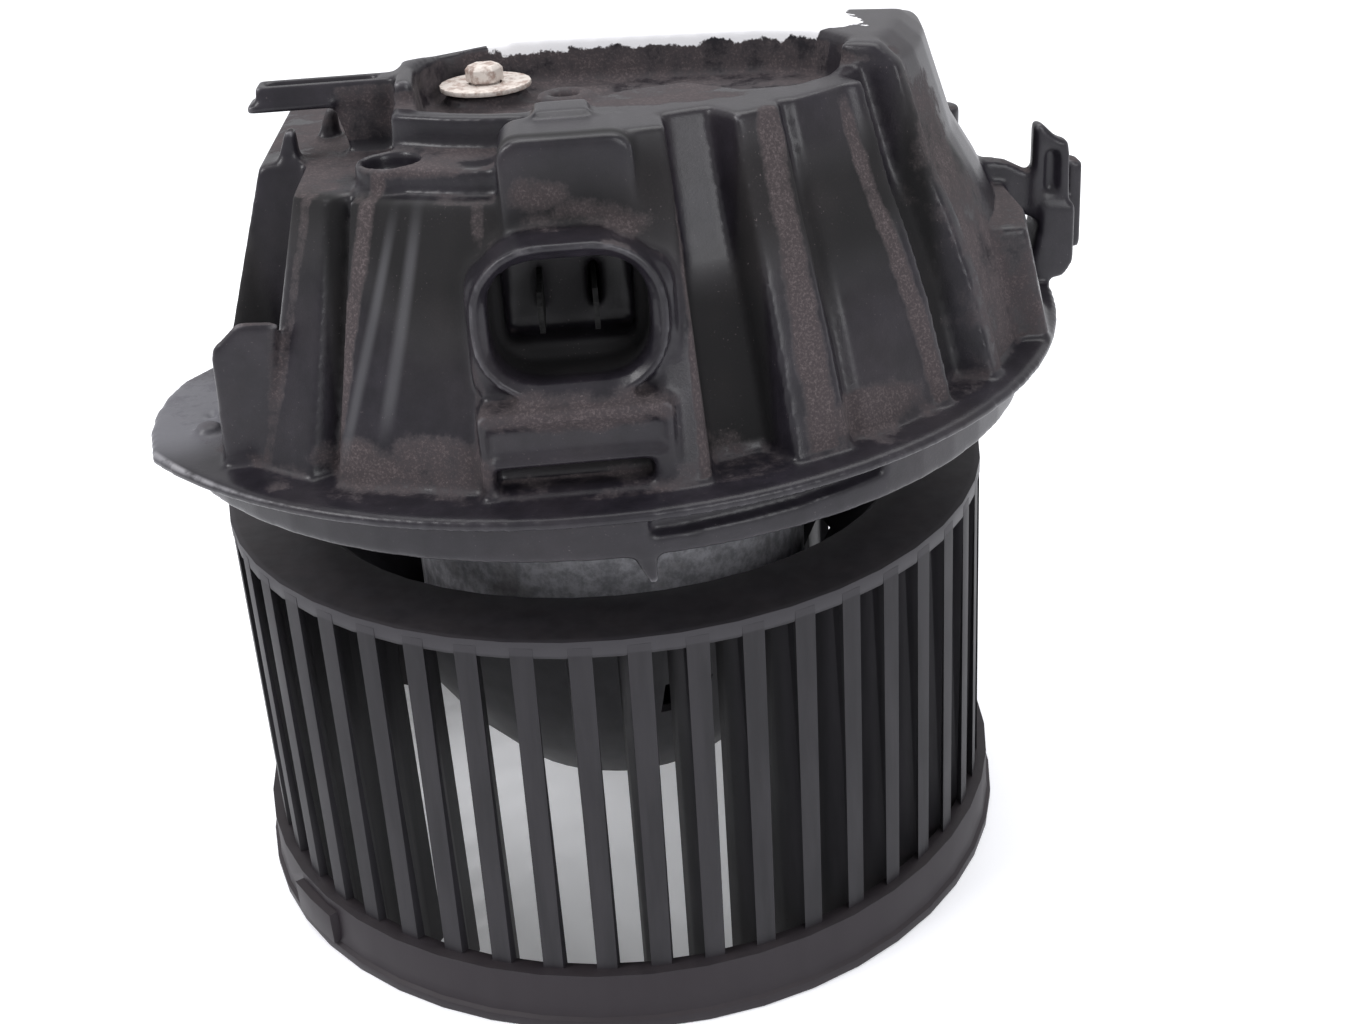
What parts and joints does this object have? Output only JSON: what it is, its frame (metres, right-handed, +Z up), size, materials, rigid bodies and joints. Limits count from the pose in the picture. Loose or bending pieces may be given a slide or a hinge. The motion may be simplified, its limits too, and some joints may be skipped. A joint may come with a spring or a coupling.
{
  "type": "car cabin blower motor",
  "caption": "Car cabin blower: ribbed plastic housing with plug socket and bayonet flange, steel motor and a curved-blade wheel that turns on its shaft.",
  "frame": {"origin": "centre of the wheel's open bottom ring, in the plane that it stands on", "axes": "+Z up along the motor's shaft, -Y out of the plug socket at the front, +X to the latch side"},
  "size_m": [0.1693, 0.176, 0.1605],
  "materials": {
    "black_plastic": "black moulded plastic, satin, dusty on ledges",
    "wheel_plastic": "dark moulded plastic, satin",
    "galvanised_steel": "dull galvanised sheet",
    "bright_steel": "plain bright steel",
    "core_steel": "stacked sheet steel, dull",
    "enamelled_copper": "enamelled copper",
    "carbon": "pressed carbon, matte",
    "ferrite": "ground ferrite, matte",
    "sintered_bronze": "sintered bronze, dull",
    "damper_rubber": "black rubber, matte",
    "brush_card": "brown laminated card",
    "worn_zinc": "zinc-plated steel, worn and dull"
  },
  "bodies": {
    "housing": {"motor_housing": "black_plastic", "motor_can": "galvanised_steel", "end_bracket": "bright_steel", "brush_plate": "brush_card", "brush_left": "carbon", "brush_right": "carbon", "brush_spring_left": "bright_steel", "brush_spring_right": "bright_steel", "magnet_left": "ferrite", "magnet_right": "ferrite", "bearing_lower": "sintered_bronze", "bearing_upper": "sintered_bronze", "damper_lower": "damper_rubber", "damper_upper": "damper_rubber", "terminal_left": "bright_steel", "terminal_right": "bright_steel", "motor_screw_front": "worn_zinc", "motor_screw_rear": "worn_zinc", "screw_washer_front": "worn_zinc", "screw_washer_rear": "worn_zinc"},
    "rotor": {"blower_wheel": "wheel_plastic", "wheel_clip": "bright_steel", "motor_shaft": "bright_steel", "armature_core": "core_steel", "armature_winding": "enamelled_copper", "commutator": "enamelled_copper", "thrust_washer_lower": "brush_card", "thrust_washer_upper": "brush_card"}
  },
  "joints": [
    {"name": "wheel_spin", "type": "hinge", "parent": "housing", "child": "rotor", "pos_m": [0, 0, 0.08], "axis": [0, 0, 1], "continuous": true}
  ]
}
